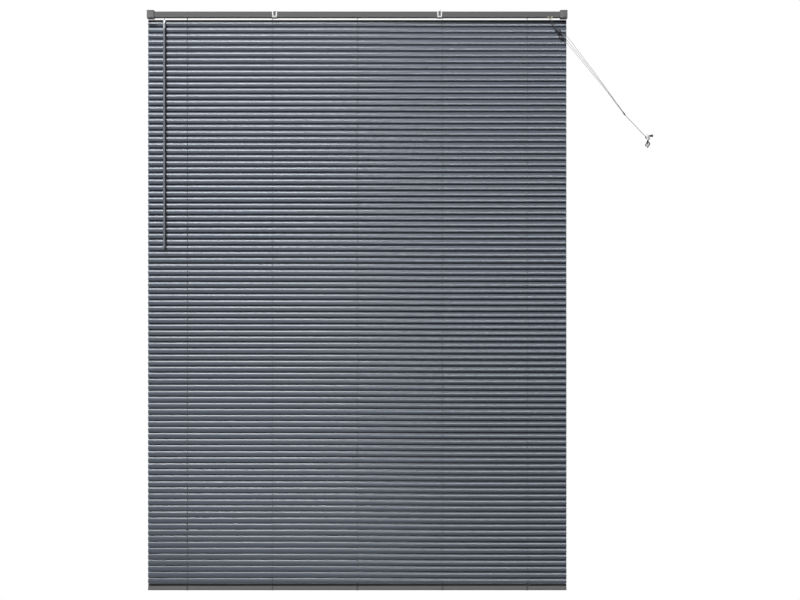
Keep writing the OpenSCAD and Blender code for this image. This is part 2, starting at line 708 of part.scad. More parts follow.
headrail();
headrail_cap(-1);  // headrail_cap_left
headrail_cap(1);  // headrail_cap_right
bracket(-1);  // bracket_left
bracket(1);  // bracket_right
gate(-1);  // gate_left
gate(1);  // gate_right
gate_pin(-1);  // gate_pin_left
gate_pin(1);  // gate_pin_right
support_clip(-1);  // support_clip_left
support_clip(1);  // support_clip_right
tilt_rod();
drum(0);  // drum_1
drum(1);  // drum_2
drum(2);  // drum_3
drum(3);  // drum_4
drum(4);  // drum_5
cradle(0);  // cradle_1
cradle(1);  // cradle_2
cradle(2);  // cradle_3
cradle(3);  // cradle_4
cradle(4);  // cradle_5
tilter_case();
tilter_cover();
tilter_worm();
tilter_gear();
wand_hanger();
wand_hanger_pin();
wand_ferrule();
wand_ferrule_pin();
wand_rod();
wand_tip();
cord_lock();
lock_roller(guide_r, guide_y, guide_z);  // lock_guide_roller
lock_roller(pinch_r, pinch_y, pinch_z);  // lock_pinch_roller
slats();
ladder(0);  // ladder_1
ladder(1);  // ladder_2
ladder(2);  // ladder_3
ladder(3);  // ladder_4
ladder(4);  // ladder_5
bottom_rail();
bottom_rail_cap(-1);  // bottom_rail_cap_left
bottom_rail_cap(1);  // bottom_rail_cap_right
rail_clip(0);  // rail_clip_1
rail_clip(1);  // rail_clip_2
rail_clip(2);  // rail_clip_3
rail_clip(3);  // rail_clip_4
rail_clip(4);  // rail_clip_5
lift_cord(0);  // lift_cord_1
lift_cord(1);  // lift_cord_2
lift_cord(2);  // lift_cord_3
pull_strand(strand_1);  // pull_strand_1
pull_strand(strand_2);  // pull_strand_2
pull_strand(strand_3);  // pull_strand_3
cord_bell();
cord_joiner();
pull_tail();
cord_tassel();
wall_cleat();
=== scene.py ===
"""Dresses the CAD frame of an aluminium venetian blind: slats, cords, fittings and a plain studio stage."""
import json
import math

import bmesh
import bpy
from bpy.props import FloatProperty, FloatVectorProperty, IntProperty, PointerProperty
from mathutils import Matrix, Vector


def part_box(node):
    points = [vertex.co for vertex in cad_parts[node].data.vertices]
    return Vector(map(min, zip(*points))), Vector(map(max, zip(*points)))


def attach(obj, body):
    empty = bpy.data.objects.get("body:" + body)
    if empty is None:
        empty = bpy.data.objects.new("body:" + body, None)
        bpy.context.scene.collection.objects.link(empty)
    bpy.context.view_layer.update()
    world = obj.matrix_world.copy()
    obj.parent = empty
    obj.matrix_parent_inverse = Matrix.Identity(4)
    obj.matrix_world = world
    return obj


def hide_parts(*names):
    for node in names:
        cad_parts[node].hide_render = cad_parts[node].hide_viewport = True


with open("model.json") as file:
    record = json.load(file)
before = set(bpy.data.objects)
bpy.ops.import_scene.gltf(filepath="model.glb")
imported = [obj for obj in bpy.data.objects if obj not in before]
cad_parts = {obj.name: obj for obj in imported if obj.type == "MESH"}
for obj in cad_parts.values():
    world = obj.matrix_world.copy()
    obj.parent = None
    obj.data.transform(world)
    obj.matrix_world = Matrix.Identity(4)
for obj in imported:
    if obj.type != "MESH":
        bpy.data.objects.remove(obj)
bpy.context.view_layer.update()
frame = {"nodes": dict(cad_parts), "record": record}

bl_info = {
    "name": "Venetian Blind",
    "version": (1, 0, 0),
    "blender": (4, 5, 0),
    "location": "View3D > Sidebar > Blind",
    "description": "Builds the slats, cords and fittings of an aluminium venetian blind on its frame",
    "category": "Add Mesh",
}

MM = 0.001
ROOT = "headrail"
LADDERS = range(1, 6)

# Route points of the pull cords in millimetres, the same as in the part's source, with x from the blind's end
BLIND_END = 800
STRANDS = {
    1: [(-63, -6.6, -29), (-63, -6.6, -31.5), (-60, -7.6, -39), (-52, -9.4, -54), (-40.2, -10, -69),
        (-27, -10, -81), (0, -8.6, -102), (46, -6, -161), (100, -4, -230.5), (150, -1, -298),
        (185, 1, -346), (215, 2, -386.1)],
    2: [(-66, -6.6, -29), (-66, -6.6, -31.5), (-62.4, -7.6, -40), (-54, -9.4, -55.5), (-41.5, -10, -70),
        (-30.3, -10, -84), (-1, -8.6, -115), (46, -6, -171), (100, -4, -238), (149, -1, -300.5),
        (184, 1, -347.5), (213.8, 2, -387)],
    3: [(-69, -6.6, -29), (-69, -6.6, -31.5), (-64.8, -7.6, -41), (-56, -9.4, -57), (-42.8, -10, -71),
        (-34, -10, -87), (-2, -8.6, -125), (46, -6, -181), (100, -4, -246), (148, -1, -303.5),
        (183, 1, -349), (212.6, 2, -387.9)],
}
TAIL_IN = [(222.2, 2, -398.2), (225.2, 2, -402.2), (260, 5, -437), (290, 8.5, -468), (298, 10, -475.5),
           (303, 10.9, -479.6)]
TAIL_OUT = [(309.5, 6, -477.9), (311.8, 6, -477.2)]

# Distance between the points of a finished cord in metres
STRAND_STEP, TAIL_STEP = 0.003, 0.0012

# The tail's winding round the cleat in millimetres: each size, then its growth with every half turn
CLEAT_X, CLEAT_Z = 307, -498
TURN_ASIDE, TURN_HIGH = (6.2, 0.8), (17.5, 0.5)
TURN_FRONT, TURN_BACK = (-2, -2.3), (10.5, -1.15)
TURN_ANGLES = [*range(20, 701, 20), 712]

# Share of its height where the winding starts to pass behind the cleat, and the share over which it does so
PASS_FROM, PASS_OVER = 0.5, 0.4

# Turned pieces of the pull cord in millimetres: a profile gives the radius, then the distance along the axis
TURNED = {
    "bell": {
        "profile": [(2.7, -1), (4.4, -1), (5.4, 2), (8.4, 16), (8.4, 18), (7.2, 18), (4, 3), (2.7, 1.5)],
        "at": (-41.5, -10, -70), "along": (0.62, 0, -0.785),
    },
    "joiner": {
        "profile": [(0, 0), (2.6, 0), (2.6, 14), (0, 14)],
        "at": (213.8, 2, -387), "along": (0.6, 0, -0.8), "sides": 24, "edge": 0.5,
    },
    "tassel": {
        "profile": [(0, 0), (1.6, 0), (2.6, 1.5), (3.6, 6), (4.8, 14.5), (4.8, 17), (3.8, 17), (2.8, 10),
                    (0, 9)],
        "at": (311.8, 6, -477.2), "along": (1, 0, 0.06),
    },
}

# Lift cords in millimetres: place along the blind, height above the headrail's floor, and lane in the lock
LIFT_CORDS = {1: (-648, 0.9, 3), 2: (0, 2.3, 0), 3: (648, 3.7, -3)}
LIFT_DEPTH, LIFT_END, HEADRAIL_FLOOR, LOCK_X = 1.41, -2197.8, -26.2, 734

# A slat's faces: metal beside a cord hole in metres, angles round the hole, shares of the strips, corner angles
HOLE_MARGIN = 0.0012
HOLE_ANGLES = range(-90, 91, 30)
STRIP_SHARES = (0.33, 0.67)
CORNER_ANGLES = (0, 22.5, 45, 67.5, 90)

# A rung's points as shares of half a slat's width, the gap between a back string and the bottom rail in metres,
# and the seed of the tilt's wander
RUNG_SHARES = (-1.02, -0.8, -0.4, 0, 0.4, 0.8, 1.02)
STRING_GAP = 0.0006
WANDER_SEED = 11

# Rounding of the fittings' edges in metres, and what makes a CAD mesh ready for it: welding and flat faces
BRACKET_EDGE, GATE_EDGE, HEADRAIL_CAP_EDGE, RAIL_CAP_EDGE = 0.0006, 0.0005, 0.0005, 0.0004
CLIP_EDGE, CLEAT_EDGE = 0.0003, 0.0014
WELD_DISTANCE, FLAT_DEGREES = 2e-6, 1
EDGE_SEGMENTS = 2

# Angles in degrees from which an edge is rounded, and from which it is shaded sharp
LATHE_ROUNDED, CAD_ROUNDED = 28, 40
TUBE_SHARP, ROUNDED_SHARP, SLAT_SHARP = 50, 35, 30

# Depth of the grain on a surface in metres
GRAIN_DEPTH = 0.00002

# The stage in metres: soft boxes with what they light, the point that they face, and the floor
LAMPS = {
    "key": {"place": (-1.7, -7.9, 5.0), "width": 3.2, "height": 0.6, "diffuse": False},
    "fill": {"place": (1.5, -9.5, 2.25), "width": 3.0, "height": 0.6, "diffuse": False},
    "top": {"place": (-3.0, -3.8, 6.8), "width": 2.0, "height": 1.0, "glossy": False},
    "back": {"place": (0.5, 6.0, 1.0), "width": 4.0, "height": 1.5},
}
BLIND_MIDDLE = Vector((0, 0, -1.1))
SENSOR_WIDTH = 36.0
FLOOR_SIDE, FLOOR_FRONT, FLOOR_BACK = 5, -6, 2.4
FLOOR_SHADES, FLOOR_BOUNCE = (0.80, 0.84), 0.1


class BlindSlatSizes(bpy.types.PropertyGroup):
    """Sizes of the slats and how they hang."""

    count: IntProperty(name="Slats", description="Number of slats", default=93, min=1)
    pitch: FloatProperty(
        name="Pitch", description="Height from slat to slat", default=0.0231, unit="LENGTH")
    length: FloatProperty(
        name="Length", description="Length of a slat", default=1.596, unit="LENGTH")
    width: FloatProperty(
        name="Width", description="Width across a slat's chord", default=0.025, unit="LENGTH")
    sheet: FloatProperty(
        name="Sheet", description="Thickness of a slat", default=0.00022, unit="LENGTH")
    crown: FloatProperty(
        name="Crown", description="Height of a slat's curve", default=0.0019, unit="LENGTH")
    corner: FloatProperty(
        name="Corner", description="Radius of a slat's corners", default=0.003, unit="LENGTH")
    hole_length: FloatProperty(
        name="Hole length", description="Cord hole along a slat", default=0.0026, unit="LENGTH")
    hole_width: FloatProperty(
        name="Hole width", description="Cord hole across a slat", default=0.0058, unit="LENGTH")
    tilt: FloatProperty(
        name="Tilt", description="Tilt of the closed slats", default=math.radians(72), subtype="ANGLE")
    wander: FloatProperty(
        name="Wander", description="How far the tilt varies", default=math.radians(0.2), subtype="ANGLE")
    lean: FloatProperty(
        name="Lean", description="Extra tilt of the topmost slat", default=math.radians(7), subtype="ANGLE")
    first: FloatProperty(
        name="First slat", description="Height of the first slat", default=-0.047, unit="LENGTH")
    depth: FloatProperty(
        name="Depth", description="Depth of the slats' centre line", default=0.003, unit="LENGTH")


class BlindCordSizes(bpy.types.PropertyGroup):
    """Sizes of the cords and ladder strings."""

    strand: FloatProperty(
        name="Strand", description="Diameter of the lift and pull strands", default=0.0012, unit="LENGTH")
    tail: FloatProperty(
        name="Tail cord", description="Diameter of the tail cord", default=0.002, unit="LENGTH")
    string: FloatProperty(
        name="Ladder string", description="Diameter of a ladder string", default=0.0009, unit="LENGTH")
    rung: FloatProperty(
        name="Rung", description="Diameter of a ladder's rung thread", default=0.0004, unit="LENGTH")
    rung_gap: FloatProperty(
        name="Rung gap", description="Gap between a rung's two threads", default=0.0016, unit="LENGTH")


class BlindColours(bpy.types.PropertyGroup):
    """Base colours of the finishes."""

    slat: FloatVectorProperty(
        name="Slats", description="Slat lacquer", default=(0.084, 0.097, 0.122), subtype="COLOR")
    sheen: FloatVectorProperty(
        name="Slat sheen", description="Tint of the slats' gloss", default=(0.89, 0.94, 1.0), subtype="COLOR")
    bare: FloatVectorProperty(
        name="Cut edge", description="Bare cut edge of a slat", default=(0.22, 0.22, 0.23), subtype="COLOR")
    rail: FloatVectorProperty(
        name="Rails", description="Headrail and bottom rail", default=(0.151, 0.151, 0.151), subtype="COLOR")
    bracket: FloatVectorProperty(
        name="Brackets", description="End brackets and gates", default=(0.157, 0.157, 0.160), subtype="COLOR")
    cap: FloatVectorProperty(
        name="Caps", description="Grey caps and rail clips", default=(0.065, 0.065, 0.070), subtype="COLOR")
    clip: FloatVectorProperty(
        name="Support clips", description="White steel clips", default=(0.76, 0.76, 0.75), subtype="COLOR")
    zinc: FloatVectorProperty(
        name="Zinc", description="Plated steel", default=(0.42, 0.43, 0.44), subtype="COLOR")
    nylon: FloatVectorProperty(
        name="Nylon", description="Natural nylon", default=(0.62, 0.57, 0.43), subtype="COLOR")
    white: FloatVectorProperty(
        name="White plastic", description="Ferrule and worm", default=(0.50, 0.51, 0.54), subtype="COLOR")
    wand: FloatVectorProperty(
        name="Wand", description="Wand plastic", default=(0.185, 0.202, 0.223), subtype="COLOR")
    cord: FloatVectorProperty(
        name="Cord", description="Braided cord", default=(0.055, 0.056, 0.061), subtype="COLOR")
    dark: FloatVectorProperty(
        name="Dark plastic", description="Bell, joiner and tassel", default=(0.036, 0.040, 0.050),
        subtype="COLOR")
    cleat: FloatVectorProperty(
        name="Cleat", description="White wall cleat", default=(0.84, 0.84, 0.83), subtype="COLOR")


class BlindStage(bpy.types.PropertyGroup):
    """Camera and light."""

    eye: FloatVectorProperty(
        name="Camera", description="Place of the camera", default=(0.163, -5.0, -1.1035),
        subtype="TRANSLATION")
    lens: FloatProperty(
        name="Lens", description="Focal length in millimetres", default=59.0)
    key: FloatProperty(
        name="Key light", description="Power of the upper left light, seen in gloss", default=980.0,
        unit="POWER")
    fill: FloatProperty(
        name="Fill light", description="Power of the right light, seen in gloss", default=470.0, unit="POWER")
    top: FloatProperty(
        name="Top light", description="Power of the matt light high in front", default=1340.0, unit="POWER")
    back: FloatProperty(
        name="Back light", description="Power of the light behind", default=430.0, unit="POWER")
    ambient: FloatProperty(
        name="Ambient", description="Level of the light from above", default=0.14)
    below: FloatProperty(
        name="Below", description="Level of the light from below", default=0.02)
    floor: FloatProperty(
        name="Floor", description="Height of the floor", default=-2.9, unit="LENGTH")


def node_in(tree, kind, **values):
    """Adds a node and sets its sockets by name."""
    made = tree.nodes.new(kind)
    for key, value in values.items():
        made.inputs[key.replace("_", " ")].default_value = value
    return made


def feed(tree, socket, value):
    """Links a socket to another, or sets it to a value."""
    if isinstance(value, bpy.types.NodeSocket):
        tree.links.new(value, socket)
    else:
        socket.default_value = value


def math_node(tree, operation, *values):
    """The result of a math node on numbers and sockets."""
    made = tree.nodes.new("ShaderNodeMath")
    made.operation = operation
    for socket, value in zip(made.inputs, values):
        feed(tree, socket, value)
    return made.outputs[0]


def blend_colours(tree, factor, low, high):
    """A colour between two others, which are colours or sockets, by a factor socket."""
    mix = tree.nodes.new("ShaderNodeMix")
    mix.data_type = "RGBA"
    tree.links.new(factor, mix.inputs[0])
    feed(tree, mix.inputs[6], low)
    feed(tree, mix.inputs[7], high)
    return mix.outputs[2]


def map_range(tree, value, low, high):
    """A value from 0 to 1 spread from low to high."""
    node = node_in(tree, "ShaderNodeMapRange", To_Min=low, To_Max=high)
    tree.links.new(value, node.inputs["Value"])
    return node.outputs["Result"]


def noise(tree, vector, scale, detail=3.0):
    """Soft noise at a place."""
    node = node_in(tree, "ShaderNodeTexNoise", Scale=scale, Detail=detail)
    tree.links.new(vector, node.inputs["Vector"])
    return node.outputs["Fac"]


def bump(tree, surface, height, strength, distance):
    """Gives a surface its fine relief."""
    node = node_in(tree, "ShaderNodeBump", Strength=strength, Distance=distance)
    tree.links.new(height, node.inputs["Height"])
    tree.links.new(node.outputs["Normal"], surface.inputs["Normal"])


def seen_rays(tree):
    """One for the rays that show the background to the camera, straight, in gloss or through glass."""
    path = tree.nodes.new("ShaderNodeLightPath")
    seen = path.outputs["Is Camera Ray"]
    for ray in ("Is Glossy Ray", "Is Transmission Ray"):
        seen = math_node(tree, "MAXIMUM", seen, path.outputs[ray])
    return seen


def shader(name):
    """An empty material with its Principled shader."""
    material = bpy.data.materials.new(name)
    material.use_nodes = True
    tree = material.node_tree
    return material, tree, tree.nodes["Principled BSDF"]


def tinted(colour, share):
    """The colour, lighter or darker by a share."""
    return tuple(min(1.0, c * share) for c in colour) + (1.0,)


def finish(name, colour, rough, mottle_scale, metal=0.0, stretch=(1, 1, 1), mottle=0.06, grain=0.15,
           grain_scale=1400.0, rough_spread=0.05, coat=0.0, gloss=0.2, tint=None, bare=None):
    """A painted, plated or moulded surface: soft colour drift, uneven gloss and a fine grain."""
    material, tree, surface = shader(name)
    place = tree.nodes.new("ShaderNodeTexCoord").outputs["Object"]
    turned = node_in(tree, "ShaderNodeMapping", Scale=stretch)
    tree.links.new(place, turned.inputs["Vector"])
    vector = turned.outputs["Vector"]
    drift = noise(tree, vector, mottle_scale, detail=4.0)
    fine = noise(tree, vector, grain_scale, detail=2.0)
    shade = blend_colours(tree, drift, tinted(colour, 1 - mottle), tinted(colour, 1 + mottle))
    if bare is not None:
        edge = tree.nodes.new("ShaderNodeAttribute")
        edge.attribute_name = "cut_edge"
        shade = blend_colours(tree, edge.outputs["Fac"], shade, tuple(bare) + (1.0,))
    tree.links.new(shade, surface.inputs["Base Color"])
    spread = map_range(tree, drift, rough - rough_spread, rough + rough_spread)
    tree.links.new(spread, surface.inputs["Roughness"])
    surface.inputs["Metallic"].default_value = metal
    surface.inputs["Coat Weight"].default_value = coat
    surface.inputs["Specular IOR Level"].default_value = gloss
    if tint is not None:
        surface.inputs["Specular Tint"].default_value = tuple(tint) + (1.0,)
    bump(tree, surface, fine, grain, GRAIN_DEPTH)
    return material


def braid(name, colour):
    """A braided cord: two crossing sets of strands along the piece's own braid map, with painted shade in the
    grooves and a painted highlight on the strands' crowns.
    """
    material, tree, surface = shader(name)
    around = tree.nodes.new("ShaderNodeUVMap")
    around.uv_map = "braid"
    parts = tree.nodes.new("ShaderNodeSeparateXYZ")
    tree.links.new(around.outputs["UV"], parts.inputs["Vector"])

    def wave(sign):
        slope = math_node(tree, "MULTIPLY_ADD", parts.outputs["Y"], sign, parts.outputs["X"])
        return math_node(tree, "SINE", math_node(tree, "MULTIPLY", slope, 2 * math.pi))

    upper = math_node(tree, "MAXIMUM", wave(1.0), wave(-1.0))
    height = map_range(tree, upper, low=0.25, high=1.0)
    # Painted shade and highlight: the grooves between the strands are painted darker and the strands' crowns
    # lighter, following their height
    shade = blend_colours(tree, height, low=tinted(colour, 0.55), high=tinted(colour, 1.15))
    tree.links.new(shade, surface.inputs["Base Color"])
    tree.links.new(map_range(tree, height, low=0.85, high=0.7), surface.inputs["Roughness"])
    surface.inputs["Sheen Weight"].default_value = 0.15
    surface.inputs["Specular IOR Level"].default_value = 0.3
    bump(tree, surface, height, strength=0.5, distance=0.00012)
    return material


def finishes():
    """The blind's materials by the record's slots, each made when it isn't there yet."""
    c = bpy.context.scene.blind_colours
    recipes = {
        "slat_paint": ("slat_lacquer", c.slat, dict(
            rough=0.22, mottle_scale=9.0, stretch=(0.35, 1, 1), mottle=0.05, grain=0.12, grain_scale=1100.0,
            rough_spread=0.03, tint=c.sheen, bare=c.bare)),
        "rail_paint": ("rail_lacquer", c.rail, dict(
            rough=0.6, mottle_scale=12.0, stretch=(0.3, 1, 1), mottle=0.05, grain=0.12, grain_scale=1100.0,
            gloss=0.05)),
        "bracket_paint": ("bracket_lacquer", c.bracket, dict(
            rough=0.58, mottle_scale=90.0, grain=0.2, gloss=0.15)),
        "grey_plastic": ("grey_moulding", c.cap, dict(
            rough=0.5, mottle_scale=120.0, mottle=0.08, grain=0.3)),
        "white_steel": ("white_enamel", c.clip, dict(
            rough=0.45, mottle_scale=90.0, mottle=0.03, gloss=0.1)),
        "zinc_steel": ("zinc_plating", c.zinc, dict(
            rough=0.36, mottle_scale=200.0, metal=1.0, stretch=(1, 8, 8), mottle=0.15, grain=0.25,
            rough_spread=0.1)),
        "nylon": ("natural_nylon", c.nylon, dict(
            rough=0.45, mottle_scale=80.0, mottle=0.05, grain=0.25)),
        "white_plastic": ("white_moulding", c.white, dict(
            rough=0.55, mottle_scale=80.0, mottle=0.03, gloss=0.08)),
        "wand_plastic": ("wand_extrusion", c.wand, dict(
            rough=0.22, mottle_scale=160.0, stretch=(1, 1, 0.1), mottle=0.08, grain=0.08, coat=0.12)),
        "cord": ("cord_braid", c.cord, None),
        "dark_plastic": ("dark_moulding", c.dark, dict(
            rough=0.3, mottle_scale=120.0, mottle=0.12, grain=0.2, coat=0.16)),
        "cleat_plastic": ("cleat_moulding", c.cleat, dict(
            rough=0.36, mottle_scale=70.0, mottle=0.02)),
    }
    made = {}
    for slot, (name, colour, values) in recipes.items():
        if name in bpy.data.materials:
            made[slot] = bpy.data.materials[name]
        else:
            made[slot] = finish(name, colour, **values) if values else braid(name, colour)
    return made


def linked(name, data):
    """A new object of the data, linked to the scene."""
    obj = bpy.data.objects.new(name, data)
    bpy.context.scene.collection.objects.link(obj)
    return obj


def piece(name, mesh, slot, body=ROOT, stands_for=()):
    """Links a mesh as a piece with its finish, and sets it on its body."""
    mesh.name = name
    obj = linked(name, mesh)
    mesh.materials.clear()
    mesh.materials.append(finishes()[slot])
    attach(obj, body)
    if stands_for:
        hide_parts(*stands_for)
    return obj


def evaluated(obj):
    """The object's mesh with its modifiers, as a plain mesh; the object itself is removed."""
    made = bpy.data.meshes.new_from_object(obj.evaluated_get(bpy.context.evaluated_depsgraph_get()))
    bpy.data.objects.remove(obj)
    return made


def smooth(mesh, degrees):
    """The mesh shaded smooth, apart from edges sharper than an angle."""
    mesh.polygons.foreach_set("use_smooth", [True] * len(mesh.polygons))
    mesh.set_sharp_from_angle(angle=math.radians(degrees))
    mesh.update()
    return mesh


def mesh_from(name, verts, faces):
    """A plain mesh of points and faces."""
    mesh = bpy.data.meshes.new(name)
    mesh.from_pydata(verts, [], faces)
    return mesh


def mesh_of(name, bm):
    """The bmesh as a plain mesh; the bmesh itself is freed."""
    mesh = bpy.data.meshes.new(name)
    bm.to_mesh(mesh)
    bm.free()
    return mesh


def at_end(point):
    """A route point in metres."""
    return Vector((point[0] + BLIND_END, point[1], point[2])) * MM


def smooth_route(points, step):
    """A centripetal curve through the points, with its own points a step apart."""
    ends = [2 * points[0] - points[1], *points, 2 * points[-1] - points[-2]]
    route = []
    for a, b, c, d in zip(ends, ends[1:], ends[2:], ends[3:]):
        t0, t1 = 0.0, max(1e-9, (b - a).length ** 0.5)
        t2 = t1 + max(1e-9, (c - b).length ** 0.5)
        t3 = t2 + max(1e-9, (d - c).length ** 0.5)
        count = max(1, round((c - b).length / step))
        for i in range(count):
            t = t1 + (t2 - t1) * i / count
            a1 = a.lerp(b, (t - t0) / (t1 - t0))
            a2 = b.lerp(c, (t - t1) / (t2 - t1))
            a3 = c.lerp(d, (t - t2) / (t3 - t2))
            b1 = a1.lerp(a2, (t - t0) / (t2 - t0))
            b2 = a2.lerp(a3, (t - t1) / (t3 - t1))
            route.append(b1.lerp(b2, (t - t1) / (t2 - t1)))
    return route + [points[-1].copy()]


def tube(name, routes, radius, sides=10, strands=6):
    """Round tubes along routes, closed at both ends, with a braid map round and along them."""
    verts, faces, around = [], [], []
    for route in routes:
        first, side, distance, travelled = len(verts), None, 0.0, []
        for i, point in enumerate(route):
            ahead = (route[min(i + 1, len(route) - 1)] - route[max(i - 1, 0)]).normalized()
            if side is None:
                side = ahead.orthogonal().normalized()
            else:
                side = (side - ahead * side.dot(ahead)).normalized()
                distance += (point - route[i - 1]).length
            other = ahead.cross(side)
            travelled.append(distance / (radius * 2))
            for k in range(sides):
                angle = 2 * math.pi * k / sides
                verts.append(point + (side * math.cos(angle) + other * math.sin(angle)) * radius)
        rings = len(route)
        for i in range(rings - 1):
            for k in range(sides):
                n = (k + 1) % sides
                row, up = first + i * sides, first + (i + 1) * sides
                faces.append((row + k, row + n, up + n, up + k))
                u0, u1 = strands * k / sides, strands * (k + 1) / sides
                v0, v1 = travelled[i], travelled[i + 1]
                around.append(((u0, v0), (u1, v0), (u1, v1), (u0, v1)))
        faces.append(tuple(first + k for k in reversed(range(sides))))
        faces.append(tuple(first + (rings - 1) * sides + k for k in range(sides)))
        around += [((0.0, 0.0),) * sides, ((0.0, travelled[-1]),) * sides]
    mesh = mesh_from(name, verts, faces)
    layer = mesh.uv_layers.new(name="braid")
    for polygon, corners in zip(mesh.polygons, around):
        for loop, uv in zip(polygon.loop_indices, corners):
            layer.data[loop].uv = uv
    return smooth(mesh, TUBE_SHARP)


def rounded_edges(name, mesh, width, angle):
    """The mesh with its edges sharper than an angle rounded."""
    obj = linked(name + "_blank", mesh)
    bevel = obj.modifiers.new("Rounded edges", "BEVEL")
    bevel.width, bevel.segments = width, EDGE_SEGMENTS
    bevel.limit_method, bevel.angle_limit = "ANGLE", math.radians(angle)
    return smooth(evaluated(obj), ROUNDED_SHARP)


def lathe(name, profile, at, along, sides=32, edge=0.35):
    """A turned piece about an axis, with its corners rounded."""
    bm = bmesh.new()
    circle = [(math.cos(2 * math.pi * k / sides), math.sin(2 * math.pi * k / sides)) for k in range(sides)]
    rings = []
    for r, h in profile:
        points = circle if r else [(0, 0)]
        rings.append([bm.verts.new((r * MM * x, r * MM * y, h * MM)) for x, y in points])
    closed = profile[0][0] != 0
    pairs = list(zip(rings, rings[1:])) + ([(rings[-1], rings[0])] if closed else [])
    for a, b in pairs:
        for k in range(sides):
            n = (k + 1) % sides
            corners = [a[k % len(a)], a[n % len(a)], b[n % len(b)], b[k % len(b)]]
            bm.faces.new(list(dict.fromkeys(corners)))
    bmesh.ops.recalc_face_normals(bm, faces=bm.faces)
    mesh = mesh_of(name, bm)
    turned = Vector(along).normalized().to_track_quat("Z", "Y").to_matrix().to_4x4()
    mesh.transform(Matrix.Translation(at_end(at)) @ turned)
    return rounded_edges(name, mesh, edge * MM, LATHE_ROUNDED)


def softened(node, slot, width, body=ROOT):
    """Puts a copy of a CAD node with its edges rounded in the node's place."""
    bm = bmesh.new()
    bm.from_mesh(frame["nodes"][node].data)
    bmesh.ops.remove_doubles(bm, verts=bm.verts, dist=WELD_DISTANCE)
    bmesh.ops.dissolve_limit(bm, angle_limit=math.radians(FLAT_DEGREES), verts=bm.verts, edges=bm.edges)
    mesh = rounded_edges(node, mesh_of(node, bm), width, CAD_ROUNDED)
    piece(node + "_moulded", mesh, slot, body, (node,))


def rows_tree():
    """Geometry Nodes: one copy of a blank for each row of the curtain, tilted, with a small wander."""
    tree = bpy.data.node_groups.new("Curtain rows", "GeometryNodeTree")
    face = tree.interface
    face.new_socket("Geometry", in_out="INPUT", socket_type="NodeSocketGeometry")
    sockets = (("Rows", "NodeSocketInt"), ("Start", "NodeSocketVector"), ("Drop", "NodeSocketVector"),
               ("Tilt", "NodeSocketFloat"), ("Wander", "NodeSocketFloat"), ("Lean", "NodeSocketFloat"),
               ("Seed", "NodeSocketInt"), ("Finish", "NodeSocketMaterial"))
    for label, kind in sockets:
        face.new_socket(label, in_out="INPUT", socket_type=kind)
    face.new_socket("Geometry", in_out="OUTPUT", socket_type="NodeSocketGeometry")
    group, out = tree.nodes.new("NodeGroupInput").outputs, tree.nodes.new("NodeGroupOutput")
    link = tree.links.new
    line = tree.nodes.new("GeometryNodeMeshLine")
    link(group["Rows"], line.inputs["Count"])
    link(group["Start"], line.inputs["Start Location"])
    link(group["Drop"], line.inputs["Offset"])
    # The sockets of a random number are the second Min, the second Max and the second output
    chance = tree.nodes.new("FunctionNodeRandomValue")
    chance.data_type = "FLOAT"
    chance.inputs[2].default_value = -1.0
    chance.inputs[3].default_value = 1.0
    link(group["Seed"], chance.inputs["Seed"])
    angle = math_node(tree, "MULTIPLY_ADD", chance.outputs[1], group["Wander"], group["Tilt"])
    # The lean fades from the topmost row to the last by the cube of the height
    index = tree.nodes.new("GeometryNodeInputIndex").outputs[0]
    below = math_node(tree, "DIVIDE", index, math_node(tree, "SUBTRACT", group["Rows"], 1.0))
    hung = math_node(tree, "POWER", math_node(tree, "SUBTRACT", 1.0, below), 3.0)
    turn = tree.nodes.new("ShaderNodeCombineXYZ")
    link(math_node(tree, "MULTIPLY_ADD", hung, group["Lean"], angle), turn.inputs["X"])
    copies = tree.nodes.new("GeometryNodeInstanceOnPoints")
    link(line.outputs["Mesh"], copies.inputs["Points"])
    link(group["Geometry"], copies.inputs["Instance"])
    link(turn.outputs["Vector"], copies.inputs["Rotation"])
    real = tree.nodes.new("GeometryNodeRealizeInstances")
    link(copies.outputs["Instances"], real.inputs["Geometry"])
    dressed = tree.nodes.new("GeometryNodeSetMaterial")
    link(real.outputs["Geometry"], dressed.inputs["Geometry"])
    link(group["Finish"], dressed.inputs["Material"])
    link(dressed.outputs["Geometry"], out.inputs["Geometry"])
    return tree


def in_rows(name, blank, slot):
    """The blank repeated down the curtain, as one plain mesh."""
    sizes = bpy.context.scene.blind_slats
    obj = linked(name + "_blank", blank)
    tree = bpy.data.node_groups.get("Curtain rows") or rows_tree()
    rows = obj.modifiers.new("Rows", "NODES")
    rows.node_group = tree
    values = {
        "Rows": sizes.count,
        "Start": (0.0, sizes.depth, sizes.first),
        "Drop": (0.0, 0.0, -sizes.pitch),
        "Tilt": sizes.tilt,
        "Wander": sizes.wander,
        "Lean": sizes.lean,
        "Seed": WANDER_SEED,
        "Finish": finishes()[slot],
    }
    for item in tree.interface.items_tree:
        if item.in_out == "INPUT" and item.name in values:
            rows[item.identifier] = values[item.name]
    return evaluated(obj)


def slat_rise(s):
    """Height of a slat's upper face above its chord, across the slat."""
    sizes = bpy.context.scene.blind_slats
    half, crown = sizes.width / 2, sizes.crown
    radius = (half * half + crown * crown) / (2 * crown)
    return math.sqrt(radius * radius - s * s) - radius + crown


